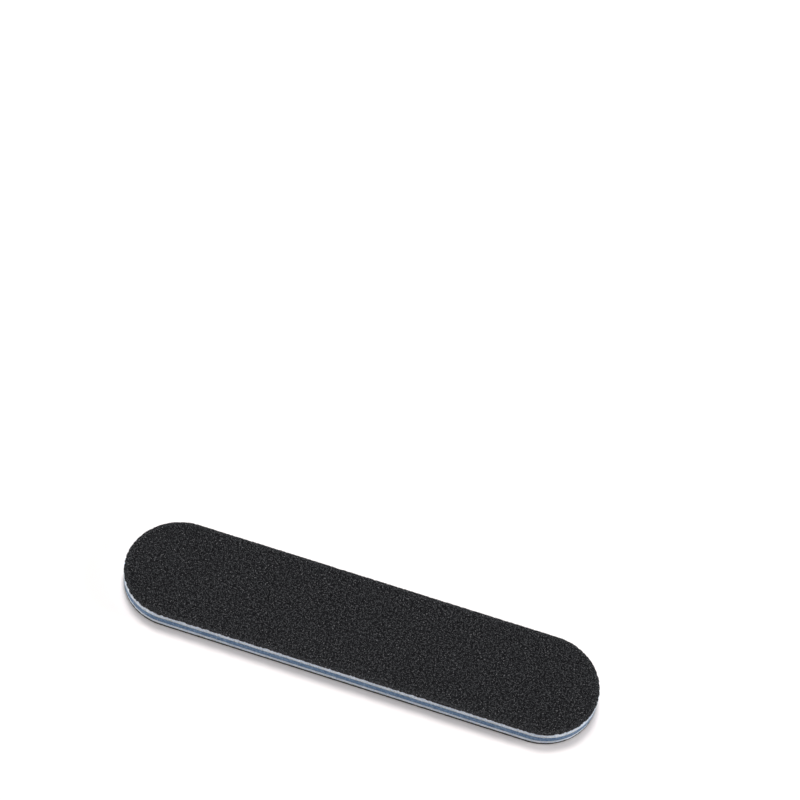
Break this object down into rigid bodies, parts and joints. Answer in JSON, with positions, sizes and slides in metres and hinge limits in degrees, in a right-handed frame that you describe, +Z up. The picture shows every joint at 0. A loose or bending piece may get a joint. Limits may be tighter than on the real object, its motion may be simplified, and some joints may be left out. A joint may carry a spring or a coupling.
{
  "type": "nail file",
  "caption": "Mini double-sided nail file: a flat foam-cushioned laminate with fully round ends, a stiff plastic core and a black abrasive face on each side.",
  "frame": {"origin": "centre of the lower working face, on the surface that the file rests on", "axes": "+X along the file's length, +Y across its width, +Z up through its thickness towards the coarser face"},
  "size_m": [0.09, 0.0206, 0.0038],
  "materials": {
    "core_plastic": "blue polystyrene board, seen at its die-cut edge, slightly mottled",
    "cushion_foam": "white closed-cell foam, die-cut, matt and finely cellular",
    "adhesive": "thin clear acrylic adhesive film",
    "backing_paper": "black latex-saturated paper, cut edge slightly fuzzy",
    "coarse_grit": "black silicon carbide grains in a black resin coat, coarser side, fine sparkle",
    "fine_grit": "black silicon carbide grains in a black resin coat, finer side"
  },
  "bodies": {
    "root": {"core_board": "core_plastic", "upper_core_adhesive": "adhesive", "upper_cushion_foam": "cushion_foam", "upper_sheet_adhesive": "adhesive", "upper_paper_backing": "backing_paper", "upper_coarse_grit_coat": "coarse_grit", "lower_core_adhesive": "adhesive", "lower_cushion_foam": "cushion_foam", "lower_sheet_adhesive": "adhesive", "lower_paper_backing": "backing_paper", "lower_fine_grit_coat": "fine_grit"}
  },
  "joints": []
}
